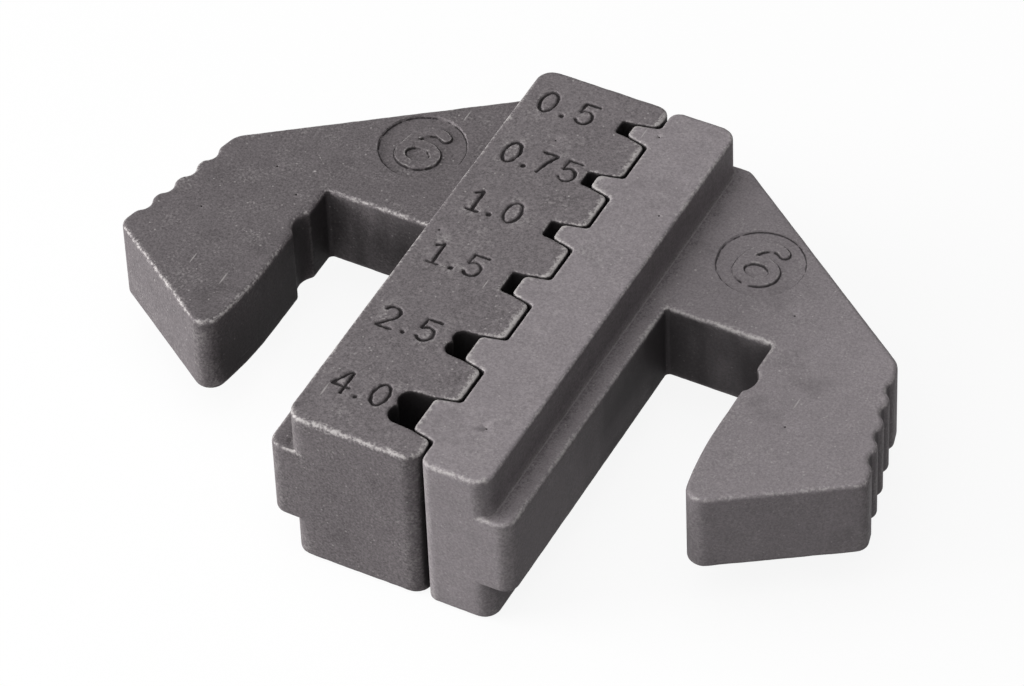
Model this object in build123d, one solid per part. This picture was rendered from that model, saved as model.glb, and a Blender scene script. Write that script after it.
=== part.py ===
from build123d import *
from collections import namedtuple
from itertools import accumulate
from math import cos, radians, sin, tan
import os

# Crimp die insert: a crimper half and an anvil half that close on six wire sizes.
# Millimetres. While a half is drawn, Y is 0 at the end of the block that lies nearest the
# pliers' pivot and block_length at the far end, X is 0 on the plane that mirrors the two
# wings, and Z is 0 at the block's underside. The anvil half lies on the +X side.

# Block: the thick strip of each half that carries the crimping edge
block_half_width = 7.05       # mirror plane to the block's outer side
plate_thickness = 6.1
block_step = 3.15             # the block stands this far above and below its wing plate
block_corner_radius = 0.8     # plan corners on the outer side
block_edge_bevel = 0.2        # broken edge along the top and bottom

# Crimping edge
finger_reach = 2.2            # the crimper's fingers reach this far past the mirror plane
finger_corner_radius = 0.5
crimper_near_radius = 1.2     # plan corner of the crimping edge at the near end
crimper_far_radius = 0.9
tongue_tip = 0.7              # place of the anvil's tongue tips when the halves are closed
tongue_corner_radius = 0.4
root_corner_radius = 0.3      # inner corners between two tongues
anvil_end_radius = 0.75       # plan corners of the anvil's crimping edge at both ends
front_clearance = 0.18        # finger front to the anvil's edge between tongues
flank_clearance = 0.09        # side of a tongue to the side of its nest
chamber_taper = 4.5           # degrees, walls of the crimping chamber
mouth_taper = 13.0            # degrees, funnel mouth of a nest and sides of its tongue
floor_corner_radius = 0.25    # chamber floor of the small sizes

# Nests, named after their wire sizes. The first pitch runs from the near end, each other one
# from the nest before, and the last finger ends the block
pitch_4_0 = 3.9
pitch_2_5 = 6.35
pitch_1_5 = 6.18
pitch_1_0 = 5.35
pitch_0_75 = 5.12
pitch_0_5 = 5.18
last_finger = 2.92

# Width of each chamber at its tongue's tip
width_4_0 = 3.1
width_2_5 = 2.42
width_1_5 = 1.96
width_1_0 = 1.54
width_0_75 = 1.38
width_0_5 = 1.3

# Depth of each chamber's floor behind the mirror plane. The two largest floors have two lobes
floor_4_0 = 1.4
floor_2_5 = 0.87
floor_1_5 = 0.12
floor_1_0 = 0.05
floor_0_75 = 0.0
floor_0_5 = 0.15
lobe_radius_4_0 = 0.82
lobe_radius_2_5 = 0.64

# Wing plate: ledge, jaw slot, detent, pointed tip and grip
ledge_setback = 0.12          # the ledge's near end lies this far inside the block's end
ledge_width = 1.5             # strip of plate between the block and the jaw slot
ledge_corner_radius = 0.7
slot_width = 7.5
slot_end = 21.42              # closed end of the jaw slot, from the near end
slot_corner_radius = 0.3
detent_setback = 3.32         # detent's centre to the slot's closed end
detent_width = 2.1
detent_depth = 0.5
detent_lip_radius = 0.4
slot_straight = 7.92          # straight part of the slot's outer wall
mouth_flare = 0.9             # how far the outer wall opens out from there to the tip
tip_y = 6.65
tip_radius = 0.7
end_edge_length = 11.64
end_edge_angle = 33.4         # degrees from X
outer_corner_radius = 0.9
grip_length = 10.7
grip_angle = 15.0             # degrees from Y
grip_pitch = 2.03
grip_valleys = 4
grip_depth = 0.36
shoulder_radius = 1.6         # from the grip into the long diagonal edge
diagonal_start = 7.9          # where the diagonal meets the far end
diagonal_start_radius = 1.0
plate_edge_bevel = 0.2        # broken edge along the plate's top and bottom

block_height = plate_thickness + 2 * block_step
anvil_front = finger_reach + front_clearance
slot_inner = block_half_width + ledge_width
slot_outer = slot_inner + slot_width
detent_centre = slot_end - detent_setback
mouth_start = slot_end - slot_straight

Nest = namedtuple("Nest", "centre width floor lobe_radius")
pitches = [pitch_4_0, pitch_2_5, pitch_1_5, pitch_1_0, pitch_0_75, pitch_0_5]
centres = list(accumulate(pitches))
nests = [
    Nest(centres[0], width_4_0, floor_4_0, lobe_radius_4_0),
    Nest(centres[1], width_2_5, floor_2_5, lobe_radius_2_5),
    Nest(centres[2], width_1_5, floor_1_5, None),
    Nest(centres[3], width_1_0, floor_1_0, None),
    Nest(centres[4], width_0_75, floor_0_75, None),
    Nest(centres[5], width_0_5, floor_0_5, None),
]
block_length = centres[-1] + last_finger


def round_corners(sketch, corners, radius):
    # Rounds the corners of a sketch that lie at the given points
    picked = [sketch.vertices().sort_by_distance((x, y, 0))[0] for x, y in corners]
    return fillet(picked, radius)


def chamber_half_width(nest, x):
    # Half the width of a nest between its floor and the tongue's tip
    return nest.width / 2 - (tongue_tip - x) * tan(radians(chamber_taper))


def mouth_half_width(nest, x):
    # Half the width of a nest's funnel mouth, outside the tongue's tip
    return nest.width / 2 + (x - tongue_tip) * tan(radians(mouth_taper))


def mirrored_outline(centre, half_outline):
    # Closed face from points (x, half width) down one side of a centre line along X
    lower = [(x, centre - half) for x, half in half_outline]
    upper = [(x, centre + half) for x, half in reversed(half_outline)]
    return make_face(Polyline(*lower, *upper, close=True))


def nest_cavity(nest):
    # Plan of one nest: funnel mouth, tapered chamber, and a flat floor or two lobes
    overrun = 1.0
    mouth = (finger_reach + overrun, mouth_half_width(nest, finger_reach + overrun))
    throat = (tongue_tip, nest.width / 2)
    if nest.lobe_radius is None:
        floor = (-nest.floor, chamber_half_width(nest, -nest.floor))
        return mirrored_outline(nest.centre, [mouth, throat, floor])
    radius = nest.lobe_radius
    lobe_x = radius - nest.floor
    offset = chamber_half_width(nest, lobe_x) - radius / cos(radians(chamber_taper))
    tangent_x = lobe_x - radius * sin(radians(chamber_taper))
    tangent = (tangent_x, chamber_half_width(nest, tangent_x))
    cavity = mirrored_outline(nest.centre, [mouth, throat, tangent])
    for side in (-1, 1):
        cavity += Pos(lobe_x, nest.centre + side * offset) * Circle(radius)
    return cavity


def block_outline(start_x, end_x):
    return Pos((start_x + end_x) / 2, block_length / 2) * Rectangle(end_x - start_x, block_length)


def crimper_block_outline():
    outline = block_outline(-block_half_width, finger_reach)
    mouths = []
    floors = []
    for nest in nests:
        outline -= nest_cavity(nest)
        mouth = mouth_half_width(nest, finger_reach)
        mouths += [(finger_reach, nest.centre - mouth), (finger_reach, nest.centre + mouth)]
        if nest.lobe_radius is None:
            floor = chamber_half_width(nest, -nest.floor)
            floors += [(-nest.floor, nest.centre - floor), (-nest.floor, nest.centre + floor)]
    outline = round_corners(outline, mouths, finger_corner_radius)
    outline = round_corners(outline, floors, floor_corner_radius)
    outer = [(-block_half_width, 0), (-block_half_width, block_length)]
    outline = round_corners(outline, outer, block_corner_radius)
    outline = round_corners(outline, [(finger_reach, 0)], crimper_near_radius)
    return round_corners(outline, [(finger_reach, block_length)], crimper_far_radius)


def anvil_block_outline():
    outline = block_outline(anvil_front, block_half_width)
    slack = flank_clearance / cos(radians(mouth_taper))
    tips = []
    roots = []
    for nest in nests:
        tip = nest.width / 2 - slack
        root = mouth_half_width(nest, anvil_front) - slack
        outline += mirrored_outline(nest.centre, [(anvil_front, root), (tongue_tip, tip)])
        tips += [(tongue_tip, nest.centre - tip), (tongue_tip, nest.centre + tip)]
        roots += [(anvil_front, nest.centre - root), (anvil_front, nest.centre + root)]
    outline = round_corners(outline, tips, tongue_corner_radius)
    outline = round_corners(outline, roots, root_corner_radius)
    outer = [(block_half_width, 0), (block_half_width, block_length)]
    outline = round_corners(outline, outer, block_corner_radius)
    ends = [(anvil_front, 0), (anvil_front, block_length)]
    return round_corners(outline, ends, anvil_end_radius)


def wing_outline():
    # Plan of the wing plate on the +X side, from inside the block out to the grip
    hidden_x = (anvil_front + block_half_width) / 2
    near = ledge_setback
    far = block_length
    ledge_corner = (slot_inner, near)
    slot_corner = (slot_inner, slot_end)
    slot_far_corner = (slot_outer, slot_end)
    detent_top = (slot_outer, detent_centre + detent_width / 2)
    detent_floor = (slot_outer + detent_depth, detent_centre)
    detent_bottom = (slot_outer, detent_centre - detent_width / 2)
    mouth = (slot_outer, mouth_start)
    tip = (slot_outer + mouth_flare, tip_y)
    end_edge = Vector(cos(radians(end_edge_angle)), sin(radians(end_edge_angle)))
    along_grip = Vector(-sin(radians(grip_angle)), cos(radians(grip_angle)))
    into_plate = Vector(-cos(radians(grip_angle)), -sin(radians(grip_angle)))
    corner = Vector(*tip) + end_edge * end_edge_length
    shoulder = corner + along_grip * grip_length
    diagonal_end = (diagonal_start, far)

    def on_grip(along, depth):
        return corner + along_grip * along + into_plate * depth

    # The grip is a wave of equal arcs, centred on its side, with the crests on the side's line
    first = grip_length / 2 - (grip_valleys - 1) / 2 * grip_pitch
    quarter = grip_pitch / 4
    wave_start = on_grip(first - 2 * quarter, 0)
    rising = on_grip(first - quarter, grip_depth / 2)
    wave = TangentArc(wave_start, rising, tangent=along_grip)
    for number in range(grip_valleys):
        valley = first + number * grip_pitch
        if number > 0:
            falling = rising
            rising = on_grip(valley - quarter, grip_depth / 2)
            wave += ThreePointArc(falling, on_grip(valley - 2 * quarter, 0), rising)
        falling = rising
        rising = on_grip(valley + quarter, grip_depth / 2)
        wave += ThreePointArc(falling, on_grip(valley, grip_depth), rising)
    wave_end = on_grip(first + (grip_valleys - 1) * grip_pitch + 2 * quarter, 0)
    wave += TangentArc(wave_end, rising, tangent=-along_grip)

    edges = Polyline((hidden_x, near), ledge_corner, slot_corner, slot_far_corner, detent_top)
    edges += ThreePointArc(detent_top, detent_floor, detent_bottom)
    edges += Line(detent_bottom, mouth)
    edges += TangentArc(mouth, tip, tangent=(0, -1))
    edges += Polyline(tip, corner, wave_start) + wave
    edges += Polyline(wave_end, shoulder, diagonal_end, (hidden_x, far), (hidden_x, near))
    outline = make_face(edges)
    outline = round_corners(outline, [ledge_corner], ledge_corner_radius)
    outline = round_corners(outline, [slot_corner, slot_far_corner], slot_corner_radius)
    outline = round_corners(outline, [detent_top, detent_bottom], detent_lip_radius)
    outline = round_corners(outline, [tip], tip_radius)
    outline = round_corners(outline, [(corner.X, corner.Y)], outer_corner_radius)
    outline = round_corners(outline, [(shoulder.X, shoulder.Y)], shoulder_radius)
    return round_corners(outline, [diagonal_end], diagonal_start_radius)


def slab(outline, bottom, thickness, edge_bevel):
    # Extrudes a plan and bevels its top and bottom edges
    body = Pos(0, 0, bottom) * extrude(outline, thickness)
    rims = body.faces().sort_by(Axis.Z)
    return chamfer(rims[0].edges() + rims[-1].edges(), edge_bevel)


def seated(half):
    # Moves a finished half so that the pair's origin lies under its middle
    return Pos(0, -block_length / 2, 0) * half


wing = slab(wing_outline(), block_step, plate_thickness, plate_edge_bevel)
crimper_block = slab(crimper_block_outline(), 0, block_height, block_edge_bevel)
anvil_block = slab(anvil_block_outline(), 0, block_height, block_edge_bevel)

parts = {
    "crimper_die": seated(crimper_block + mirror(wing, about=Plane.YZ)),
    "anvil_die": seated(anvil_block + wing),
}

os.makedirs("parts", exist_ok=True)
for name, part in parts.items():
    part.label = name
    export_step(part, f"parts/{name}.step")
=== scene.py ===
import math

import bmesh
import bpy
import numpy as np
from mathutils import Matrix, Vector, kdtree, noise
from mathutils.bvhtree import BVHTree
from mathutils.geometry import delaunay_2d_cdt


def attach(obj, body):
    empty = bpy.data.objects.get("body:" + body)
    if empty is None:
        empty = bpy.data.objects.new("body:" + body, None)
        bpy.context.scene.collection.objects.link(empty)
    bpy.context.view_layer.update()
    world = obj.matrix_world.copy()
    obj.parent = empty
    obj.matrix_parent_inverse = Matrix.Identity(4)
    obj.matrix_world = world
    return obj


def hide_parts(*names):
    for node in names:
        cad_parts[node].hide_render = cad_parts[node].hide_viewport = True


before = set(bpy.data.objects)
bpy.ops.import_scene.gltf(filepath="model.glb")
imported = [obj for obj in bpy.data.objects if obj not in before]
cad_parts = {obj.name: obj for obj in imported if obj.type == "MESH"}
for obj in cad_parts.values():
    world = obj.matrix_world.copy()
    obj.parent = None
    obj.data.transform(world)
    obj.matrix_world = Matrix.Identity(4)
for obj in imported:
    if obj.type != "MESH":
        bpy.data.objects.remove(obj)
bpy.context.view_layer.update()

# Crimp die insert. Shapes are worked out in millimetres in the CAD frame, and mm turns them
# into metres when a mesh is made.
mm = 0.001
levelFrom = 0.6  # a normal whose z is above this belongs to a level face


# Plans: outlines are arrays of (x, y), anticlockwise, with the metal on the left

def tidyOutline(points):
    # Drops the points that lie on straight runs, and turns the loop anticlockwise
    before = points - np.roll(points, 1, axis=0)
    after = np.roll(points, -1, axis=0) - points
    cross = before[:, 0] * after[:, 1] - before[:, 1] * after[:, 0]
    turn = np.abs(np.arctan2(cross, (before * after).sum(axis=1)))
    corners = points[turn > 0.003]
    ahead = np.roll(corners, -1, axis=0)
    area = (corners[:, 0] * ahead[:, 1] - ahead[:, 0] * corners[:, 1]).sum()
    return corners if area > 0 else corners[::-1]


def slicePlan(nodeName, height):
    # The outline where a level plane cuts a CAD node
    cut = bmesh.new()
    cut.from_mesh(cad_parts[nodeName].data)
    bmesh.ops.remove_doubles(cut, verts=cut.verts, dist=1e-7)
    everything = cut.verts[:] + cut.edges[:] + cut.faces[:]
    level = bmesh.ops.bisect_plane(
        cut, geom=everything, plane_co=(0, 0, height * mm), plane_no=(0, 0, 1)
    )
    beside = {}
    for item in level["geom_cut"]:
        if isinstance(item, bmesh.types.BMEdge):
            beside.setdefault(item.verts[0], []).append(item.verts[1])
            beside.setdefault(item.verts[1], []).append(item.verts[0])
    walk = [next(iter(beside))]
    previous = None
    while True:
        here = walk[-1]
        ahead = beside[here][0] if beside[here][0] is not previous else beside[here][1]
        if ahead is walk[0]:
            break
        previous = here
        walk.append(ahead)
    points = np.array([vertex.co.xy for vertex in walk]) / mm
    cut.free()
    return tidyOutline(points)


def divided(outline, spacing):
    # The same loop with no step longer than spacing
    made = []
    for start, end in zip(outline, np.roll(outline, -1, axis=0)):
        count = max(1, math.ceil(np.linalg.norm(end - start) / spacing))
        made += [start + (end - start) * step / count for step in range(count)]
    return np.array(made)


def inwardNormals(outline):
    along = np.roll(outline, -1, axis=0) - outline
    along /= np.linalg.norm(along, axis=1)[:, None]
    left = np.stack([-along[:, 1], along[:, 0]], axis=1)
    mean = left + np.roll(left, 1, axis=0)
    return mean / np.linalg.norm(mean, axis=1)[:, None]


def measured(points, outline, values):
    # Signed distance from each point to the outline, positive inside, and the value there of
    # something that is known at the outline's own points
    start = outline
    run = np.roll(outline, -1, axis=0) - outline
    length = (run * run).sum(axis=1)
    nextValues = np.roll(values, -1)
    distances = []
    found = []
    for chunk in np.array_split(points, max(1, len(points) // 1500)):
        offset = chunk[:, None, :] - start[None, :, :]
        share = np.clip((offset * run).sum(axis=2) / length, 0, 1)
        gap = offset - share[:, :, None] * run
        square = (gap * gap).sum(axis=2)
        nearest = square.argmin(axis=1)
        rows = np.arange(len(chunk))
        above = chunk[:, None, 1] < start[None, :, 1]
        aboveNext = np.roll(above, -1, axis=1)
        rise = np.where(np.abs(run[:, 1]) < 1e-12, 1e-12, run[:, 1])
        crossing = offset[:, :, 1] * run[:, 0] / rise - offset[:, :, 0] > 0
        inside = ((above != aboveNext) & crossing).sum(axis=1) % 2 == 1
        distance = np.sqrt(square[rows, nearest])
        distances.append(np.where(inside, distance, -distance))
        picked = share[rows, nearest]
        found.append(values[nearest] * (1 - picked) + nextValues[nearest] * picked)
    return np.concatenate(distances), np.concatenate(found)


def thinned(points, gap):
    # Leaves out each point that lies within gap of an earlier one
    kept = {}
    for point in points:
        cell = (math.floor(point[0] / gap), math.floor(point[1] / gap))
        around = [(cell[0] + i, cell[1] + j) for i in (-1, 0, 1) for j in (-1, 0, 1)]
        near = [other for key in around for other in kept.get(key, [])]
        if all((point[0] - x) ** 2 + (point[1] - y) ** 2 >= gap * gap for x, y in near):
            kept.setdefault(cell, []).append((point[0], point[1]))
    return np.array([point for cell in kept.values() for point in cell]).reshape(-1, 2)


# Paths: what is engraved or raised on a face

def arc(centre, radii, startAngle, endAngle, steps=14):
    # Points on an ellipse, with angles in degrees from +X
    angles = np.radians(np.linspace(startAngle, endAngle, steps + 1))
    return [
        (centre[0] + radii[0] * math.cos(angle), centre[1] + radii[1] * math.sin(angle))
        for angle in angles
    ]


def evenly(path, spacing):
    # Points along an open path at even steps, with the path's direction at each
    path = np.array(path, float)
    steps = np.linalg.norm(np.diff(path, axis=0), axis=1)
    reach = np.concatenate([[0], np.cumsum(steps)])
    count = max(1, math.ceil(reach[-1] / spacing))
    at = np.linspace(0, reach[-1], count + 1)
    points = np.stack([np.interp(at, reach, path[:, axis]) for axis in (0, 1)], axis=1)
    along = np.gradient(points, axis=0)
    return points, along / np.maximum(np.linalg.norm(along, axis=1), 1e-9)[:, None]


def bandPoints(paths, offsets, spacing):
    # Points beside paths and round their ends, where a face needs its detail
    made = []
    for path in paths:
        points, along = evenly(path, spacing)
        across = np.stack([-along[:, 1], along[:, 0]], axis=1)
        for offset in offsets:
            made += [points + across * offset, points - across * offset]
            for end in (points[0], points[-1]):
                made.append(end + np.array(arc((0, 0), (offset, offset), 0, 330, 11)))
    return np.concatenate(made)


# Solid plates with worn rims

capDetail = {
    "outlineSpacing": 0.2,
    "rimSteps": 4,
    "beyondRim": (0.12, 0.3, 0.7),  # rows on the flat that carry the wear's fall-off
    "rowShare": 0.94,  # how far in a row's point has to lie, as a share of its row
    "wallRows": (0.12, 0.4, 1.0, 2.1),
    "gridSpacing": 0.9,
    "gridRows": 0.87,  # step between the grid's rows, as a share of its spacing
    "gridMargin": 0.3,  # room between the grid and the last row
    "detailMargin": 0.05,  # room between details and the rim
    "detailGap": 0.03,
    "detailClearing": 0.45,  # cells round details, which the grid leaves out
    "pointGap": 0.012,
}


def capPlan(outline, radii, details):
    # Triangles that fill an outline, with rows of points along the rim and round the details
    normals = inwardNormals(outline)
    rows = []
    for step in range(1, capDetail["rimSteps"] + 1):
        slope = math.radians(90 * step / capDetail["rimSteps"])
        rows.append(radii * (1 - math.cos(slope)))
    rows += [radii + beyond for beyond in capDetail["beyondRim"]]
    ringed = []
    for row in rows:
        placed = outline + normals * row[:, None]
        distance, _ = measured(placed, outline, radii)
        ringed.append(placed[distance > capDetail["rowShare"] * row])
    rimPoints = np.concatenate(ringed)
    low = outline.min(axis=0)
    high = outline.max(axis=0)
    pitch = capDetail["gridSpacing"]
    across = np.arange(low[0], high[0], pitch)
    up = np.arange(low[1], high[1], pitch * capDetail["gridRows"])
    grid = np.array([(x + (row % 2) * pitch / 2, y) for row, y in enumerate(up) for x in across])
    clearOfRim = radii.max() + capDetail["beyondRim"][-1] + capDetail["gridMargin"]
    distance, _ = measured(grid, outline, radii)
    grid = grid[distance > clearOfRim]
    if len(details):
        distance, nearRadii = measured(details, outline, radii)
        clear = distance > nearRadii + capDetail["detailMargin"]
        details = thinned(details[clear], capDetail["detailGap"])
        reach = capDetail["detailClearing"]
        cells = {(math.floor(x / reach), math.floor(y / reach)) for x, y in details}
        grid = np.array([
            point for point in grid
            if (math.floor(point[0] / reach), math.floor(point[1] / reach)) not in cells
        ]).reshape(-1, 2)
        rimPoints = np.concatenate([details, rimPoints])
    inner = thinned(np.concatenate([rimPoints, grid]), capDetail["pointGap"])
    points = np.concatenate([outline, inner])
    loop = list(range(len(outline)))
    plan = delaunay_2d_cdt([Vector(point) for point in points], [], [loop], 0, 1e-6, True)
    flat = np.array([vertex.xy for vertex in plan[0]])
    triangles = [triangle for triangle, parents in zip(plan[2], plan[5]) if parents]
    onOutline = {}
    for number, origins in enumerate(plan[3]):
        for origin in origins:
            if origin < len(outline):
                onOutline[origin] = number
    return flat, triangles, [onOutline[number] for number in loop]


def wornHeight(flat, outline, radii, loop):
    # How far each point of a cap lies below its flat, from its distance to the rim
    distance, radius = measured(flat, outline, radii)
    distance[loop] = 0
    radius[loop] = radii
    short = np.clip(radius - distance, 0, radius)
    return radius - np.sqrt(np.maximum(radius * radius - short * short, 0))


def plateMesh(name, outline, radii, lowerRadii, bottom, top, details=(), relief=None):
    # A closed plate: top and bottom caps with rounded rims, and a wall between them
    vertices = []
    faces = []
    loops = []
    for level, up, rims, extra in ((top, 1, radii, details), (bottom, -1, lowerRadii, ())):
        flat, triangles, loop = capPlan(outline, rims, np.array(extra).reshape(-1, 2))
        height = level - up * wornHeight(flat, outline, rims, loop)
        if relief:
            height += up * relief(flat)
        first = len(vertices)
        vertices += [(x, y, z) for (x, y), z in zip(flat, height)]
        faces += [[first + corner for corner in triangle][::up] for triangle in triangles]
        loops.append([first + corner for corner in loop])
    middle = (top + bottom) / 2
    room = (top - bottom) / 2 - max(radii.max(), lowerRadii.max())
    ladder = [step for step in capDetail["wallRows"] if step < room]
    heights = [top - radii - step for step in ladder]
    heights.append(np.full(len(outline), middle))
    heights += [bottom + lowerRadii + step for step in reversed(ladder)]
    rows = [loops[0]]
    for height in heights:
        first = len(vertices)
        vertices += [(x, y, z) for (x, y), z in zip(outline, height)]
        rows.append(list(range(first, first + len(outline))))
    rows.append(loops[1])
    for upper, lower in zip(rows, rows[1:]):
        for n in range(len(outline)):
            ahead = (n + 1) % len(outline)
            faces.append([upper[n], lower[n], lower[ahead], upper[ahead]])
    mesh = bpy.data.meshes.new(name)
    mesh.from_pydata([Vector(point) * mm for point in vertices], [], faces)
    mesh.validate()
    return mesh


def newObject(name, data):
    made = bpy.data.objects.new(name, data)
    bpy.context.scene.collection.objects.link(made)
    return made


def settled(piece):
    # Turns what a piece's modifiers make into its plain mesh
    depsgraph = bpy.context.evaluated_depsgraph_get()
    shaped = piece.evaluated_get(depsgraph)
    mesh = bpy.data.meshes.new_from_object(
        shaped, preserve_all_data_layers=True, depsgraph=depsgraph
    )
    piece.modifiers.clear()
    piece.data = mesh
    return piece


# Trees: one class for sums, and one for every other node

def operator(operation, reflected=False):
    def work(wire, other):
        values = (other, wire) if reflected else (wire, other)
        return wire.board.maths(operation, *values)
    return work


class Wire:
    # A socket of a tree that can take part in a sum
    def __init__(self, board, socket):
        self.board = board
        self.socket = socket

    __add__ = operator("ADD")
    __radd__ = __add__
    __mul__ = operator("MULTIPLY")
    __rmul__ = __mul__
    __sub__ = operator("SUBTRACT")
    __rsub__ = operator("SUBTRACT", True)
    __truediv__ = operator("DIVIDE")
    __rtruediv__ = operator("DIVIDE", True)


class Board:
    # Adds nodes to a tree
    def __init__(self, tree):
        self.tree = tree

    def node(self, kind, settings=None, sockets=None, output=0):
        made = self.tree.nodes.new(kind)
        for name, value in (settings or {}).items():
            setattr(made, name, value)
        for name, value in (sockets or {}).items():
            if isinstance(value, Wire):
                self.tree.links.new(value.socket, made.inputs[name])
            else:
                made.inputs[name].default_value = value
        return Wire(self, made.outputs[output]) if len(made.outputs) else made

    def maths(self, operation, *values):
        return self.node("ShaderNodeMath", {"operation": operation}, dict(enumerate(values)))

    def mixed(self, share, first, second):
        # From the first colour to the second
        return self.node(
            "ShaderNodeMix", {"data_type": "RGBA"}, {0: share, 6: first, 7: second}, 2
        )

    def smooth(self, value, low, high):
        # 0 below low, 1 above high, with an easy curve between them
        return self.node(
            "ShaderNodeMapRange", {"interpolation_type": "SMOOTHSTEP"},
            {"Value": value, "From Min": low, "From Max": high}
        )


def freshBoard(owner):
    # A material's or a world's node tree, emptied
    owner.use_nodes = True
    owner.node_tree.nodes.clear()
    return Board(owner.node_tree)


def shapeTree(name, inputs):
    # A geometry tree with named inputs. Gives its board and the inputs' wires
    tree = bpy.data.node_groups.new(name, "GeometryNodeTree")
    tree.interface.new_socket("Geometry", in_out="OUTPUT", socket_type="NodeSocketGeometry")
    for label, kind in inputs.items():
        tree.interface.new_socket(label, in_out="INPUT", socket_type="NodeSocket" + kind)
    board = Board(tree)
    entry = tree.nodes.new("NodeGroupInput")
    return board, {socket.name: Wire(board, socket) for socket in entry.outputs if socket.name}


def closeTree(board, geometry, material):
    realized = board.node("GeometryNodeRealizeInstances", None, {"Geometry": geometry})
    painted = board.node(
        "GeometryNodeSetMaterial", None, {"Geometry": realized, "Material": material}
    )
    board.node("NodeGroupOutput", None, {"Geometry": painted})
    return board.tree


def addTree(piece, tree, values):
    modifier = piece.modifiers.new(tree.name, "NODES")
    modifier.node_group = tree
    for item in tree.interface.items_tree:
        if item.in_out == "INPUT" and item.name in values:
            modifier[item.identifier] = values[item.name]


def pathDistance(board, pathObject, position):
    # Distance from each point of a face to the nearest of an object's paths
    paths = board.node("GeometryNodeObjectInfo", None, {"Object": pathObject}, "Geometry")
    lines = board.node("GeometryNodeCurveToMesh", None, {"Curve": paths})
    return board.node(
        "GeometryNodeProximity", {"target_element": "EDGES"},
        {"Geometry": lines, "Sample Position": position}, "Distance"
    )


def sunk(board, geometry, depth, facing):
    # Moves the points of a level face down by depth
    offset = board.node("ShaderNodeCombineXYZ", None, {"Z": 0 - depth})
    return board.node(
        "GeometryNodeSetPosition", None,
        {"Geometry": geometry, "Selection": facing, "Offset": offset}
    )


def facingUp(board):
    normal = board.node("GeometryNodeInputNormal")
    upward = board.node("ShaderNodeSeparateXYZ", None, {"Vector": normal}, "Z")
    return board.node(
        "FunctionNodeCompare", {"data_type": "FLOAT", "operation": "GREATER_THAN"},
        {"A": upward, "B": levelFrom}
    )


def marked(board, geometry, name, value):
    # Keeps the larger of a mark and the value that the points already hold under its name
    held = board.node("GeometryNodeInputNamedAttribute", {"data_type": "FLOAT"}, {"Name": name})
    larger = board.maths("MAXIMUM", held, value)
    return board.node(
        "GeometryNodeStoreNamedAttribute", {"data_type": "FLOAT", "domain": "POINT"},
        {"Geometry": geometry, "Name": name, "Value": larger}
    )


# Scales of the unevenness that the trees use, in waves per metre
ripples = {
    "lips": 2600.0,
    "depth": 900.0,
    "burrAndHighlight": 650.0,
    "raised": 1900.0,
}


def engraveTree():
    # A round-lipped groove along every path of an object
    board, given = shapeTree("Engrave paths", {
        "Geometry": "Geometry", "Paths": "Object", "Half Width": "Float", "Depth": "Float",
        "Unevenness": "Float", "Wander": "Float", "Burr And Highlight": "Float", "Seed": "Float",
        "Mark": "String", "Material": "Material",
    })
    position = board.node("GeometryNodeInputPosition")

    def ripple(scale):
        return board.node(
            "ShaderNodeTexNoise", {"noise_dimensions": "4D"},
            {"Vector": position, "W": given["Seed"], "Scale": scale, "Detail": 2.0}, 0
        )

    distance = pathDistance(board, given["Paths"], position)
    distance = distance + (ripple(ripples["lips"]) - 0.5) * given["Wander"]
    groove = 1 - board.smooth(distance, 0.0, given["Half Width"])
    strength = 1 - given["Unevenness"] * board.smooth(ripple(ripples["depth"]), 0.35, 0.7)
    held = groove * strength
    # Marks come first, because sunk points lie further from their path
    faces = marked(board, given["Geometry"], given["Mark"], held)
    # Pale lips beside the groove: burr, and painted highlight
    beside = board.maths("ABSOLUTE", distance - given["Half Width"] * 1.35)
    burrAndHighlight = 1 - board.smooth(beside, 0.0, given["Half Width"] * 0.75)
    patches = board.smooth(ripple(ripples["burrAndHighlight"]), 0.48, 0.62)
    faces = marked(board, faces, "scratch", burrAndHighlight * patches * given["Burr And Highlight"])
    faces = sunk(board, faces, held * given["Depth"], facingUp(board))
    return closeTree(board, faces, given["Material"])


def raisedMarkTree():
    # A shallow round pocket with a broad numeral left standing in it
    board, given = shapeTree("Raised mark", {
        "Geometry": "Geometry", "Numeral": "Object", "Centre": "Vector", "Radius": "Float",
        "Depth": "Float", "Wall": "Float", "Half Stroke": "Float", "Foot": "Float",
        "Foot Shade": "Float", "Wander": "Float", "Material": "Material",
    })
    position = board.node("GeometryNodeInputPosition")
    ripple = board.node(
        "ShaderNodeTexNoise", None,
        {"Vector": position, "Scale": ripples["raised"], "Detail": 2.0}, 0
    )
    wander = (ripple - 0.5) * given["Wander"]
    fromCentre = wander + board.node(
        "ShaderNodeVectorMath", {"operation": "DISTANCE"},
        {0: position, 1: given["Centre"]}, "Value"
    )
    fromPath = wander + pathDistance(board, given["Numeral"], position)
    wall = given["Wall"]
    pocket = 1 - board.smooth(fromCentre, given["Radius"] - wall, given["Radius"])
    floor = board.smooth(fromPath, given["Half Stroke"], given["Half Stroke"] + wall)
    sink = pocket * floor
    atRing = board.maths("ABSOLUTE", fromCentre - given["Radius"] + wall)
    atNumeral = board.maths("ABSOLUTE", fromPath - given["Half Stroke"] - wall)
    nearest = board.maths("MINIMUM", atRing, atNumeral)
    foot = 1 - board.smooth(nearest, 0.0, given["Foot"])
    foot = foot * pocket * board.smooth(ripple, 0.2, 0.5)
    fromEdge = board.maths("ABSOLUTE", fromPath - given["Half Stroke"])
    brow = 1 - board.smooth(fromEdge, 0.0, given["Foot"])
    paleLine = brow * pocket * board.smooth(ripple, 0.42, 0.62)
    # The foot mark is painted shade at the foot of the walls, kept with the grooves
    faces = marked(board, given["Geometry"], "groove", foot * given["Foot Shade"])
    faces = marked(board, faces, "scratch", paleLine)
    faces = sunk(board, faces, sink * given["Depth"], facingUp(board))
    return closeTree(board, faces, given["Material"])


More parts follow.
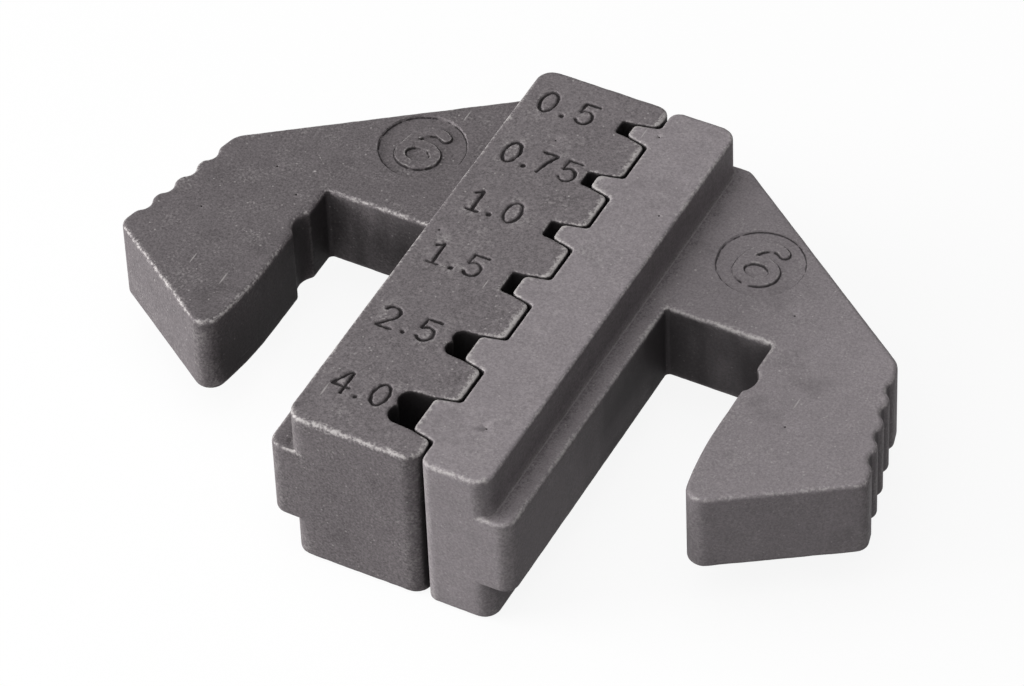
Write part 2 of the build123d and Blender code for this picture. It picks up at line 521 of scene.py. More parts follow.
def pathObject(name, paths, height):
    # A curve object that holds flat paths at one height
    curve = bpy.data.curves.new(name, "CURVE")
    curve.dimensions = "3D"
    for path in paths:
        spline = curve.splines.new("POLY")
        spline.points.add(len(path) - 1)
        for point, (x, y) in zip(spline.points, path):
            point.co = (x * mm, y * mm, height * mm, 1)
    return newObject(name, curve)


# Numerals on the crimper's block

numerals = {
    "halfWidth": 0.19,  # groove's half width with its lips
    "depth": 0.2,
    "unevenness": 0.45,
    "wander": 0.2,  # how unevenly its lips run
    "burrAndHighlight": 0.75,  # how pale its lips are: metal thrown up beside it, and painted highlight
    "rows": (0.0, 0.045, 0.09, 0.135, 0.18, 0.24, 0.32),
    "spacing": 0.065,
    # Baseline, and each sign with its middle, for the label beside each nest
    "labels": (
        (13.7, (("0", -5.27), (".", -3.93), ("5", -2.53))),
        (8.5, (("0", -5.25), (".", -4.06), ("7", -2.82), ("5", -1.1))),
        (3.58, (("1", -5.12), (".", -3.94), ("0", -2.6))),
        (-1.72, (("1", -5.12), (".", -3.86), ("5", -2.53))),
        (-8.08, (("2", -5.22), (".", -3.88), ("5", -2.5))),
        (-14.3, (("4", -5.12), (".", -3.86), ("0", -2.49))),
    ),
}

# Signs on a cell that is centred on x = 0 and stands on y = 0
signs = {
    "0": [arc((0, 0.95), (0.52, 0.93), 90, 450, 24)],
    "1": [[(-0.45, 1.6), (-0.2, 1.72), (-0.02, 1.9), (0, 0.03)], [(-0.4, 0.03), (0.38, 0.03)]],
    "2": [arc((0, 1.36), (0.52, 0.52), 160, -38) + [(-0.52, 0.03), (0.54, 0.03)]],
    "4": [[(0.28, 0.02), (0.28, 1.88), (0.1, 1.88), (-0.62, 0.6), (0.6, 0.6)]],
    "5": [
        [(0.54, 1.87), (-0.42, 1.87), (-0.48, 0.98)]
        + arc((-0.02, 0.62), (0.54, 0.6), 128, -142, 18)
    ],
    "7": [[(-0.5, 1.87), (0.5, 1.87), (0.08, 1.0), (-0.2, 0.02)]],
    ".": [arc((0, 0.14), (0.07, 0.07), 0, 360, 8)],
}


def numeralPaths():
    paths = []
    for base, cells in numerals["labels"]:
        for sign, middle in cells:
            for path in signs[sign]:
                paths.append([(middle + x, base + y) for x, y in path])
    return paths


# Nicks: fine scratches and pits, each a short path

nicks = {
    "scratchHalfWidth": 0.05,
    "scratchDepth": 0.012,
    "pitHalfWidth": 0.1,
    "pitDepth": 0.09,
    "pitRadius": 0.02,  # of the small loop that a pit is engraved along
    "unevenness": 0.4,
    "rows": (0.0, 0.03, 0.06, 0.1),
    "spacing": 0.1,
    # Per node and level: the scratches, then the pits
    "marks": {
        ("crimper_die", "plateTop"): (
            (((-18.38, 6.83), (-17.9, 6.44), (-17.37, 5.96)), ((-21.3, 1.0), (-20.9, 0.55)),
             ((-15.2, 9.1), (-14.95, 8.65)), ((-19.2, -1.6), (-18.75, -1.72))),
            ((-19.99, 4.49), (-17.6, 2.7), (-22.6, -0.9)),
        ),
        ("crimper_die", "blockTop"): (
            (((-5.9, -11.2), (-5.5, -10.8)), ((-1.2, 6.2), (-0.75, 6.35))),
            ((-3.2, 11.6), (-6.1, 1.1)),
        ),
        ("anvil_die", "plateTop"): (
            (((17.2, -8.6), (17.75, -8.15), (18.05, -7.55)), ((18.2, -5.9), (18.75, -5.75)),
             ((21.6, -0.6), (21.95, -0.15)), ((14.1, 6.1), (14.6, 6.3))),
            ((19.9, -2.2), (16.2, 6.8)),
        ),
        ("anvil_die", "blockTop"): (
            (((4.4, -8.4), (4.9, -8.1)), ((5.3, 3.2), (5.5, 3.7))),
            ((2.65, 14.77), (4.8, -13.1), (5.9, 8.3)),
        ),
    },
}


def nickPaths(nodeName, level):
    scratches, pits = nicks["marks"][nodeName, level]
    radii = (nicks["pitRadius"], nicks["pitRadius"])
    return [list(path) for path in scratches], [arc(pit, radii, 0, 360, 6) for pit in pits]


def nickDetails(nodeName, level):
    scratches, pits = nickPaths(nodeName, level)
    return bandPoints(scratches + pits, nicks["rows"], nicks["spacing"])


# Ring mark on each wing: a plain number for the count of nests

ringMark = {
    "radius": 2.97,
    "depth": 0.17,
    "wall": 0.08,
    "halfStroke": 0.33,
    "foot": 0.12,
    "wander": 0.16,  # how unevenly its lines run
    "rows": (-0.14, -0.07, -0.035, 0.0, 0.035, 0.08, 0.15, 0.22),
    "spacing": 0.12,
    # Per node: its centre, and how dark the painted shade at the foot of its walls is
    "centres": {"crimper_die": (-12.33, 10.2), "anvil_die": (12.2, 10.15)},
    "footShade": {"crimper_die": 0.72, "anvil_die": 0.66},
}


def sixPath(centre):
    # A plain six on a centre: an open stem that runs on into a round bowl
    stem = arc((0.3, -0.72), (1.5, 2.4), 62, 180, 18)
    bowl = arc((0, -0.72), (1.2, 0.97), 180, 540, 30)
    return [[(centre[0] + x, centre[1] + y) for x, y in stem + bowl[1:]]]


def ringDetails(centre):
    rows = [ringMark["radius"] - row for row in ringMark["rows"]]
    rings = [np.array(arc(centre, (row, row), 0, 357, 150)) for row in rows]
    half = ringMark["halfStroke"]
    offsets = [0.0, half / 2] + [half + row for row in ringMark["rows"]]
    return np.concatenate(rings + [bandPoints(sixPath(centre), offsets, ringMark["spacing"])])


# The two halves

die = {
    "blockTop": 12.4,
    "plateBottom": 3.15,
    "plateTop": 9.25,
    "blockHalfWidth": 7.05,
    "endRim": 0.32,  # rounding of the block's rims at its two ends
    "outerRim": 0.18,  # rounding of its long outer rims
    "crimpRim": 0.17,  # rounding along the crimping edge
    "plateRim": 0.27,
    "rimSpread": 0.16,  # share by which a rim's rounding wanders
    "rimBlend": 9,  # points over which one rounding passes into the next
    "endDepth": 0.4,  # an end's rim, measured from the end
    "crimpInset": 2.0,  # the crimping edge lies this far inside the outer side
    "crimpFromEnd": 0.9,
    "blockUnder": 1.15,  # lower rims, as a share of the upper ones
    "plateUnder": 0.9,
    # Corners that wear has rounded further: place on the +X half, and radius
    "blockCorners": ((7.05, -17.5, 1.15), (7.05, 17.5, 1.2)),
    "plateCorners": ((16.95, -10.85, 1.1), (8.55, -17.49, 1.0)),
    "straight": 0.5,  # a step longer than this belongs to a side, not to a corner
    "cove": 0.09,  # hollow where the wing meets its block
    "footRows": (0.13, 0.19, 0.3, 0.6, 1.0, 1.5),
    "hiddenX": 5.5,  # the plate's end inside the block
    "nearEnd": -17.38,  # the plate's near end in the CAD
    "flushEnd": -17.49,  # and level with the block's near face
    "flushRun": 1.2,  # length over which the one passes into the other
    "sharpAngle": 38,  # edges bent further than this are shaded sharp
}


def wandering(points, base, seed):
    # Rim radii that wander along an edge, as tumbling and wear leave them
    radii = []
    for (x, y), radius in zip(points, base):
        slow = noise.noise(Vector((x * 0.9, y * 0.9, seed)))
        quick = noise.noise(Vector((x * 3.1, y * 3.1, seed + 9.0)))
        radii.append(radius * (1 + die["rimSpread"] * (slow + 0.5 * quick)))
    return np.array(radii)


def blockRadii(outline, seed):
    low = outline[:, 1].min()
    high = outline[:, 1].max()
    fromEnd = np.minimum(outline[:, 1] - low, high - outline[:, 1])
    inside = np.abs(outline[:, 0]) < die["blockHalfWidth"] - die["crimpInset"]
    crimping = inside & (fromEnd > die["crimpFromEnd"])
    base = np.where(fromEnd < die["endDepth"], die["endRim"], die["outerRim"])
    base = np.where(crimping, die["crimpRim"], base)
    count = die["rimBlend"]
    half = count // 2
    around = np.concatenate([base[-half:], base, base[:half]])
    base = np.convolve(around, np.ones(count) / count, "valid")
    return wandering(outline, base, seed)


def wornCorner(outline, place, radius):
    # Puts a wider arc in place of the one round a convex corner
    count = len(outline)
    steps = np.linalg.norm(np.roll(outline, -1, axis=0) - outline, axis=1)
    last = int(np.linalg.norm(outline - place, axis=1).argmin())
    first = last
    while steps[last % count] < die["straight"]:
        last += 1
    while steps[(first - 1) % count] < die["straight"]:
        first -= 1
    start = outline[first % count]
    end = outline[last % count]
    into = start - outline[(first - 1) % count]
    away = outline[(last + 1) % count] - end
    into /= np.linalg.norm(into)
    away /= np.linalg.norm(away)
    bend = math.atan2(into[0] * away[1] - into[1] * away[0], np.dot(into, away))
    gap = end - start
    corner = start + into * (gap[0] * away[1] - gap[1] * away[0]) / math.sin(bend)
    centre = corner - into * radius * math.tan(bend / 2) + np.array([-into[1], into[0]]) * radius
    heading = math.degrees(math.atan2(-into[0], into[1]))
    bow = arc(centre, (radius, radius), heading, heading + math.degrees(bend), 10)
    kept = [outline[n % count] for n in range(last + 1, first + count)]
    return np.array(bow + kept)


def plateOutline(nodeName, side):
    # The wing's part of the plan, closed inside the block
    whole = slicePlan(nodeName, (die["plateBottom"] + die["plateTop"]) / 2)
    outside = whole[:, 0] * side > die["blockHalfWidth"] + 0.05
    starts = np.flatnonzero(outside & ~np.roll(outside, 1))
    run = np.roll(whole, -starts[0], axis=0)[:outside.sum()]
    length = die["flushRun"]
    share = np.clip((die["nearEnd"] + length - run[:, 1]) / length, 0, 1)
    run[:, 1] += (die["flushEnd"] - die["nearEnd"]) * share * share * (3 - 2 * share)
    hidden = side * die["hiddenX"]
    closing = np.array([(hidden, run[-1][1]), (hidden, run[0][1])])
    outline = np.concatenate([run, closing])
    for x, y, radius in die["plateCorners"]:
        outline = wornCorner(outline, (side * x, y), radius)
    return outline


def coveAround(block):
    # Height of the hollow that runs round the block's foot on the wing's faces
    def height(points):
        distance, _ = measured(points, block, np.zeros(len(block)))
        gap = np.clip(-distance, 0, die["cove"])
        short = die["cove"] - gap
        return die["cove"] - np.sqrt(np.maximum(die["cove"] ** 2 - short * short, 0))
    return height


def coveDetails(block, side):
    # Rows of points for that hollow, and for the wear beside it
    normals = inwardNormals(block)
    hollow = [die["cove"] * (1 - math.cos(math.radians(angle))) for angle in (30, 50, 70, 90)]
    rows = [-0.1, 0.0, *hollow, *die["footRows"]]
    points = np.concatenate([block - normals * row for row in rows])
    return points[points[:, 0] * side > die["hiddenX"]]


def dieHalf(pieceName, nodeName, side, seed, engraved):
    # A half's mesh and its two plans: outline, upper and lower rim radii, bottom and top
    spacing = capDetail["outlineSpacing"]
    block = slicePlan(nodeName, (die["plateTop"] + die["blockTop"]) / 2)
    for x, y, radius in die["blockCorners"]:
        block = wornCorner(block, (side * x, y), radius)
    block = divided(block, spacing)
    plate = divided(plateOutline(nodeName, side), spacing)
    blockRims = blockRadii(block, seed)
    plateRims = wandering(plate, np.full(len(plate), die["plateRim"]), seed + 3.0)
    details = np.concatenate([
        coveDetails(block, side), ringDetails(ringMark["centres"][nodeName]),
        nickDetails(nodeName, "plateTop"),
    ])
    engraved = np.concatenate([engraved, nickDetails(nodeName, "blockTop")])
    plans = (
        (block, blockRims, blockRims * die["blockUnder"], 0, die["blockTop"]),
        (plate, plateRims, plateRims * die["plateUnder"], die["plateBottom"], die["plateTop"]),
    )
    piece = newObject(pieceName, plateMesh(pieceName, *plans[0], engraved))
    wing = newObject("wing", plateMesh("wing", *plans[1], details, coveAround(block)))
    join = piece.modifiers.new("Join", "BOOLEAN")
    join.operation = "UNION"
    join.solver = "EXACT"
    join.object = wing
    settled(piece)
    bpy.data.objects.remove(wing)
    print(pieceName, "plates joined,", len(piece.data.polygons), "faces")
    return piece, plans


# Wear, painted shade and painted highlight: what the shader needs to know about each point, kept as
# attributes

wearAndPaintedLight = {
    "plain": 0.42,  # how bare an ordinary rim is
    "spread": 0.35,
    "underneath": 0.4,  # share of it on the lower rims
    "reach": 0.9,  # how far a run spreads past its line
    # Rims that have lost more or less of their coating: from, to, and how much
    "runs": {
        "crimper_die": (
            ((-6.6, -17.4), (1.4, -17.4), 0.4),
            ((-17.4, -10.7), (-26.3, -4.6), 0.22),
            ((-16.5, -10.9), (-17.3, -10.8), 0.6),
            ((-15.6, 3.9), (-8.6, 3.9), 0.2),
            ((-16.9, -10.3), (-16.3, -5.0), 0.3),
            ((-8.6, -16.8), (-7.6, -17.4), 0.2),
            ((-7.0, -15.0), (-7.0, 16.0), 0.1),
            ((2.2, -16.5), (2.2, 16.5), 0.75),  # fronts of the fingers
            ((-1.0, -14.5), (-1.0, 14.8), -0.4),  # floors of the nests
        ),
        "anvil_die": (
            ((2.9, -17.4), (6.6, -17.4), 0.42),
            ((16.8, -11.0), (17.3, -10.7), 0.75),
            ((17.4, -10.6), (26.3, -4.6), 0.16),
            ((8.6, 3.9), (15.6, 3.9), 0.35),
            ((16.7, -9.8), (16.0, -3.0), -0.35),
            ((7.2, -17.2), (8.5, -16.4), 0.2),
            ((8.55, -16.0), (8.55, 3.0), 0.2),
            ((0.8, -15.0), (0.8, 15.2), 0.6),  # tips of the tongues
            ((7.0, 9.0), (7.0, 16.5), 0.12),
        ),
    },
    "rimLine": 0.3,  # where a rim is barest, as a share of its rounding
    "farthest": 5.0,
    "cornerReach": 0.4,
    "levelSpan": 0.3,  # over which a face passes from sloping to level
    "belowWing": 0.5,  # heights round the wing's top that count as its face
    "aboveWing": 0.05,
    "footHighlightAt": 0.12,  # painted highlight beside the block's foot: its place and half width
    "footHighlightWidth": 0.07,
    "footReach": 1.5,  # how far the speckled dirt and painted shade beside the foot spread
    # Painted shade on walls: how much darker or lighter it makes them than their closeness alone
    # does
    "nestX": 3.2,
    "nestY": 16.2,
    "nestShelter": 2.3,
    "leftSlotShelter": 1.03,
    "rightSlotShelter": 1.25,
    "slotFade": (-11.0, -7.0),  # y over which a slot's own share comes in
    "slotX": 17.5,
    "stepShelter": 0.6,  # the block's side above its wing
    "stepMargin": 0.1,
    "upright": 0.25,  # walls count, level faces don't
    "shelterLift": 0.03,  # the rays start this far off the wall
    "shelterLean": 1.02,  # and lean outward a little more than evenly
    "shelterRays": 16,
    "shelterReach": 12.0,
    "shelterRounds": 3,  # of smoothing over neighbouring points
}


def turning(outline):
    # How fast a wall turns outward at each point, in radians per millimetre
    ahead = np.roll(outline, -2, axis=0) - outline
    behind = outline - np.roll(outline, 2, axis=0)
    cross = behind[:, 0] * ahead[:, 1] - behind[:, 1] * ahead[:, 0]
    turn = np.arctan2(cross, (behind * ahead).sum(axis=1))
    run = np.linalg.norm(ahead, axis=1) + np.linalg.norm(behind, axis=1)
    return 2 * turn / run


def bareness(outline, runs, seed):
    # How bare the rim is at each point of an outline
    made = []
    for point in outline:
        amount = wearAndPaintedLight["plain"]
        amount += wearAndPaintedLight["spread"] * noise.noise(Vector((point[0] * 0.35, point[1] * 0.35, seed)))
        for start, end, extra in runs:
            start = np.array(start)
            run = np.array(end) - start
            share = np.clip(np.dot(point - start, run) / np.dot(run, run), 0, 1)
            gap = np.linalg.norm(point - start - share * run)
            amount += extra * max(0, 1 - gap / wearAndPaintedLight["reach"])
        made.append(amount)
    return made


def nearestTree(places):
    # For finding which place is nearest to a point
    tree = kdtree.KDTree(len(places))
    for number, (place, _) in enumerate(places):
        tree.insert(place, number)
    tree.balance()
    return tree


def keepValues(mesh, values):
    # Stores values, one per point, under their names
    for name, amounts in values.items():
        layer = mesh.attributes.new(name, "FLOAT", "POINT")
        layer.data.foreach_set("value", amounts)


def markWearAndPaintedLight(piece, plans, nodeName, seed):
    rims = []
    corners = []
    for outline, radii, lowerRadii, bottom, top in plans:
        bare = bareness(outline, wearAndPaintedLight["runs"][nodeName], seed)
        line = wearAndPaintedLight["rimLine"]
        levels = ((top, -line, radii, 1.0), (bottom, line, lowerRadii, wearAndPaintedLight["underneath"]))
        for level, share, rounding, strength in levels:
            inset = outline + inwardNormals(outline) * (rounding * abs(share))[:, None]
            for (x, y), radius, amount in zip(inset, rounding, bare):
                rims.append(((x, y, level + radius * share), amount * strength))
        corners += [((x, y, 0), turn) for (x, y), turn in zip(outline, turning(outline))]
    rimTree = nearestTree(rims)
    cornerTree = nearestTree(corners)
    lowest = die["plateTop"] - wearAndPaintedLight["belowWing"]
    highest = die["plateTop"] + wearAndPaintedLight["aboveWing"]
    gaps = []
    bares = []
    turns = []
    recesses = []
    for vertex in piece.data.vertices:
        place = vertex.co / mm
        _, number, gap = rimTree.find(place)
        gaps.append(min(gap, wearAndPaintedLight["farthest"]))
        bares.append(rims[number][1])
        _, number, gap = cornerTree.find((place.x, place.y, 0))
        near = max(0, 1 - gap / wearAndPaintedLight["cornerReach"])
        turns.append(corners[number][1] * near * (1 - abs(vertex.normal.z)))
        # Level faces round the wing's top, which the shader darkens as painted shade
        onWing = lowest < place.z < highest
        level = (vertex.normal.z - levelFrom) / wearAndPaintedLight["levelSpan"]
        recesses.append(max(0, min(1, level)) if onWing else 0)
    made = {"rimGap": gaps, "rimBare": bares, "corner": turns, "recess": recesses}
    keepValues(piece.data, made)
    markFoot(piece.data, plans[0][0], np.array(recesses))


def markFoot(mesh, block, recesses):
    # A painted highlight line where the wing's top meets its block, and the speckled dirt and
    # painted shade beside it
    places = np.empty(len(mesh.vertices) * 3)
    mesh.vertices.foreach_get("co", places)
    onWing = np.flatnonzero(recesses > 0)
    distance, _ = measured(places.reshape(-1, 3)[onWing, :2] / mm, block, np.zeros(len(block)))
    beyond = np.maximum(-distance, 0)
    paleLine = np.zeros(len(mesh.vertices))
    paleLine[onWing] = np.clip(1 - np.abs(beyond - wearAndPaintedLight["footHighlightAt"]) / wearAndPaintedLight["footHighlightWidth"], 0, 1)
    footDirtAndShade = np.zeros(len(mesh.vertices))
    footDirtAndShade[onWing] = np.clip(1 - beyond / wearAndPaintedLight["footReach"], 0, 1)
    keepValues(mesh, {"footHighlight": paleLine, "foot": footDirtAndShade})


def spherePoints(count):
    # Points spread evenly over a unit sphere
    golden = math.pi * (3 - math.sqrt(5))
    made = []
    for number in range(count):
        z = 1 - (2 * number + 1) / count
        ring = math.sqrt(1 - z * z)
        made.append(Vector((ring * math.cos(golden * number), ring * math.sin(golden * number), z)))
    return made


def wallShare(place):
    # The share of painted shade that a wall gets, by where it lies
    across = abs(place.x)
    if across < wearAndPaintedLight["nestX"] and abs(place.y) < wearAndPaintedLight["nestY"]:
        return wearAndPaintedLight["nestShelter"]
    if across < die["blockHalfWidth"] + wearAndPaintedLight["stepMargin"]:
        return wearAndPaintedLight["stepShelter"] if place.z > die["plateTop"] else 1
    if across > wearAndPaintedLight["slotX"]:
        return 1
    start, end = wearAndPaintedLight["slotFade"]
    slot = wearAndPaintedLight["leftSlotShelter"] if place.x < 0 else wearAndPaintedLight["rightSlotShelter"]
    return 1 + (slot - 1) * max(0, min(1, (place.y - start) / (end - start)))


def markShelterShade(pieces):
    # How far the metal round each point of a wall closes it in, from 0 to 1, times the wall's
    # share; the shader darkens by it as painted shade
    vertices = []
    faces = []
    for piece in pieces:
        first = len(vertices)
        vertices += [vertex.co for vertex in piece.data.vertices]
        faces += [[first + corner for corner in face.vertices] for face in piece.data.polygons]
    metal = BVHTree.FromPolygons(vertices, faces)
    spread = spherePoints(wearAndPaintedLight["shelterRays"])
    for piece in pieces:
        enclosedShade = []
        for vertex in piece.data.vertices:
            upright = 1 - abs(vertex.normal.z)
            hits = 0
            if upright > wearAndPaintedLight["upright"]:
                start = vertex.co + vertex.normal * wearAndPaintedLight["shelterLift"] * mm
                for offset in spread:
                    way = vertex.normal * wearAndPaintedLight["shelterLean"] + offset
                    hits += metal.ray_cast(start, way, wearAndPaintedLight["shelterReach"] * mm)[0] is not None
            enclosedShade.append(upright * hits / len(spread) * wallShare(vertex.co / mm))
        keepValues(piece.data, {"shelterShade": softened(piece.data, np.array(enclosedShade))})


def softened(mesh, values):
    # Evens a value out along the edges of a mesh
    pairs = np.empty(len(mesh.edges) * 2, int)
    mesh.edges.foreach_get("vertices", pairs)
    first, second = pairs.reshape(-1, 2).T
    count = len(values)
    neighbours = np.bincount(first, minlength=count) + np.bincount(second, minlength=count)
    for _ in range(wearAndPaintedLight["shelterRounds"]):
        total = np.bincount(first, values[second], count)
        total = total + np.bincount(second, values[first], count)
        values = (values + total / neighbours) / 2
    return values


# Steel

steel = {
    "crimper": (0.152, 0.137, 0.1425, 1),
    "anvil": (0.226, 0.205, 0.214, 1),
    "bare": (0.36, 0.34, 0.335, 1),  # where the coating is worn through
    # Its coat from darkest to lightest, and in the deepest shade, as shares of its colour
    "darkest": 0.35,
    "lightest": 1.65,
    "deepest": 0.12,
    # Scales of what varies over it, in waves per metre
    "tone": 95,
    "stain": 240,
    "patch": 520,
    "mottle": 650,
    "fray": 3600,
    "grain": 5200,
    "fine": 9000,
    "roughness": 0.6,
    "bareRoughness": 0.52,
    "metallic": 0.1,
    "bareMetallic": 0.25,
    "specular": 0.05,
    "bumpHeight": 0.00002,
}


def steelMaterial(name, coat, wingShade, coarseness):
    # Sintered steel with a dark coat: grain, specks, pits, bare metal along its rims, and painted
    # shade and highlights
    made = bpy.data.materials.new(name)
    board = freshBoard(made)
    place = board.node("ShaderNodeTexCoord", output="Object")

    def cloud(scale, detail=2.0, roughness=0.5, at=place):
        return board.node("ShaderNodeTexNoise", None, {
            "Vector": at, "Scale": scale, "Detail": detail, "Roughness": roughness,
        })

    def dots(scale, size, share, at=place):
        # Scattered round spots: cells per metre, their size, and the share of cells with one
        cells = {"Vector": at, "Scale": scale}
        distance = board.node("ShaderNodeTexVoronoi", None, cells, "Distance")
        colour = board.node("ShaderNodeTexVoronoi", None, cells, "Color")
        luck = board.node("ShaderNodeSeparateColor", None, {"Color": colour}, "Red")
        there = board.smooth(luck, 1 - share, 1 - share * 0.8)
        return (1 - board.smooth(distance, size * 0.45, size)) * there

    def known(name):
        return board.node("ShaderNodeAttribute", {"attribute_name": name}, None, "Fac")

    def hairs(turn, scale, share):
        # Short pale scratches that lie roughly one way
        turned = board.node("ShaderNodeMapping", None, {
            "Vector": place, "Rotation": (0, 0, math.radians(turn)), "Scale": (1.0, 0.1, 1.0),
        })
        return dots(scale, 0.16, share, turned)

    def tinted(share):
        return tuple(share * part for part in coat[:3]) + (1,)

    tone = cloud(steel["tone"], 2)
    mottle = cloud(steel["mottle"], 3, 0.6)
    grain = cloud(steel["grain"], 2, 0.65)
    fine = cloud(steel["fine"], 1)
    specks = dots(1900, 0.18, 0.13) * 0.6 + dots(2900, 0.24, 0.09) * 0.6 + dots(800, 0.085, 0.09)
    pits = dots(330, 0.045, 0.1)
    scratches = hairs(28, 2300, 0.04) + hairs(-52, 1900, 0.035) + hairs(80, 2600, 0.028)

    dust = (grain - 0.5 + (fine - 0.5) * 0.9) * coarseness
    lightness = 1 + (tone - 0.5) * 0.22 + (mottle - 0.5) * 0.24 + dust
    darkest = steel["darkest"]
    lightest = steel["lightest"]
    shade = tinted(steel["deepest"])
    share = (lightness - darkest) / (lightest - darkest)
    colour = board.mixed(share, tinted(darkest), tinted(lightest))

    # Painted shade, with some dirt and stains: the wing's level faces, the block's foot, concave
    # corners and closed-in walls are darkened towards the deepest shade
    fray = cloud(steel["fray"], 3, 0.7)
    # Speckled dirt and painted shade of the block on the wing, thickest at its foot
    footDirtAndShade = known("foot") * 0.75 + (fray - 0.5) * 1.2 + (grain - 0.5) * 2.4
    footDirtAndShade = board.smooth(footDirtAndShade, 0.35, 0.95) * 0.5
    # Stains, with that dirt and painted shade added
    stain = footDirtAndShade + board.smooth(cloud(steel["stain"], 4, 0.65), 0.54, 0.72) * 0.2
    # Painted shade in concave corners
    valleyShade = board.smooth(0 - known("corner"), 0.25, 1.6) * 0.73
    # Painted shade on closed-in walls, darkest in the nests
    enclosedShade = board.smooth(known("shelterShade"), 0.12, 0.6) * 0.86
    enclosedShade = enclosedShade + board.smooth(known("shelterShade"), 0.8, 1.5) * 0.12
    wallAndValleyShade = board.maths("MAXIMUM", enclosedShade, valleyShade)
    colour = board.mixed(known("recess") * wingShade + stain, colour, shade)
    colour = board.mixed(wallAndValleyShade, colour, shade)

    groove = known("groove")
    patch = cloud(steel["patch"], 2)
    speckle = (fray - 0.5) * 1.5 + (grain - 0.5) * 2.4
    rimWear = known("rimBare") + speckle + (patch - 0.5) * 1.2 - known("rimGap") * 2.6
    bare = board.smooth(rimWear, 0.12, 1.1)
    cornerWear = known("corner") * 0.26 + speckle * 0.8 + (patch - 0.5) * 1.2
    bare = board.maths("MAXIMUM", bare, board.smooth(cornerWear, 0.1, 1.0) * 0.5)
    # Specks, scratches, and the pale marks kept as scratch: nicks, worn edges of the ring mark's
    # numeral, and the numerals' lips with their painted highlight
    marks = specks + scratches * 0.6 + known("scratch") * board.smooth(grain, 0.4, 0.6) * 0.8
    bare = board.maths("MAXIMUM", bare, board.maths("MINIMUM", marks, 0.85))
    bare = bare * (1 - groove) * (1 - wallAndValleyShade)
    # Painted highlight: a pale speckled line on the wing along the block's foot
    footHighlight = known("footHighlight") * board.smooth(grain, 0.36, 0.62) * 0.6
    bare = board.maths("MAXIMUM", bare, footHighlight)
    colour = board.mixed(bare, colour, steel["bare"])
    # Dark fill in grooves and pits, and painted shade at the foot of the ring marks' walls
    grooveFillAndShade = board.smooth(groove, 0.12, 0.62) * 0.92 + pits * 0.7
    colour = board.mixed(board.maths("MINIMUM", grooveFillAndShade, 1.0), colour, shade)
    relief = (grain * 0.6 + fine * 0.3) * coarseness + mottle * 0.8
    relief = relief - pits * 2.0 + specks * 0.5 - scratches * 0.4
    bump = board.node("ShaderNodeBump", None, {
        "Strength": 1.0, "Distance": steel["bumpHeight"], "Height": relief,
    })
    polish = bare * (steel["roughness"] - steel["bareRoughness"])
    surface = board.node("ShaderNodeBsdfPrincipled", None, {
        "Base Color": colour,
        "Roughness": steel["roughness"] + (grain - 0.5) * 0.25 - polish,
        "Metallic": steel["metallic"] + bare * (steel["bareMetallic"] - steel["metallic"]),
        "Specular IOR Level": steel["specular"],
        "Normal": bump,
    })
    board.node("ShaderNodeOutputMaterial", None, {"Surface": surface})
    return made


crimperSteel = steelMaterial("crimperSteel", steel["crimper"], 0.2, 1.0)
anvilSteel = steelMaterial("anvilSteel", steel["anvil"], 0.03, 0.62)
engrave = engraveTree()
raiseMark = raisedMarkTree()

labelPaths = numeralPaths()
labelDetails = bandPoints(labelPaths, numerals["rows"], numerals["spacing"])
crimper, crimperPlans = dieHalf("crimperDie", "crimper_die", -1, 2.0, labelDetails)
anvil, anvilPlans = dieHalf("anvilDie", "anvil_die", 1, 5.0, np.empty((0, 2)))

halves = (
    (crimper, crimperPlans, "crimper_die", crimperSteel, 2.0),
    (anvil, anvilPlans, "anvil_die", anvilSteel, 5.0),
)
labels = pathObject("numeralPaths", labelPaths, die["blockTop"])
helpers = [labels]
addTree(crimper, engrave, {
    "Paths": labels, "Half Width": numerals["halfWidth"] * mm, "Depth": numerals["depth"] * mm,
    "Unevenness": numerals["unevenness"], "Wander": numerals["wander"] * mm,
    "Burr And Highlight": numerals["burrAndHighlight"], "Seed": 1.0, "Mark": "groove", "Material": crimperSteel,
})
for piece, plans, nodeName, finish, seed in halves:
    centre = ringMark["centres"][nodeName]
    six = pathObject(nodeName + "Six", sixPath(centre), die["plateTop"])
    helpers.append(six)
    addTree(piece, raiseMark, {
        "Numeral": six, "Centre": Vector((*centre, die["plateTop"])) * mm,
        "Radius": ringMark["radius"] * mm, "Depth": ringMark["depth"] * mm,
        "Wall": ringMark["wall"] * mm, "Half Stroke": ringMark["halfStroke"] * mm,
        "Foot": ringMark["foot"] * mm, "Foot Shade": ringMark["footShade"][nodeName],
        "Wander": ringMark["wander"] * mm, "Material": finish,
    })
    for level in ("plateTop", "blockTop"):
        for kind, paths in zip(("scratch", "pit"), nickPaths(nodeName, level)):
            lines = pathObject(kind + "Paths", paths, die[level])
            helpers.append(lines)
            addTree(piece, engrave, {
                "Paths": lines, "Half Width": nicks[kind + "HalfWidth"] * mm,
                "Depth": nicks[kind + "Depth"] * mm, "Unevenness": nicks["unevenness"],
                "Seed": seed, "Mark": "scratch" if kind == "scratch" else "groove",
                "Material": finish,
            })
    settled(piece)
    markWearAndPaintedLight(piece, plans, nodeName, seed)
for helper in helpers:
    bpy.data.objects.remove(helper)
markShelterShade([crimper, anvil])
for piece, nodeName, body in ((crimper, "crimper_die", "crimper"), (anvil, "anvil_die", "anvil")):
    piece.data.shade_smooth()
    piece.data.set_sharp_from_angle(angle=math.radians(die["sharpAngle"]))
    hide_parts(nodeName)
    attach(piece, body)
print("marks and wear made")

# Studio: floor, lamps, world and camera

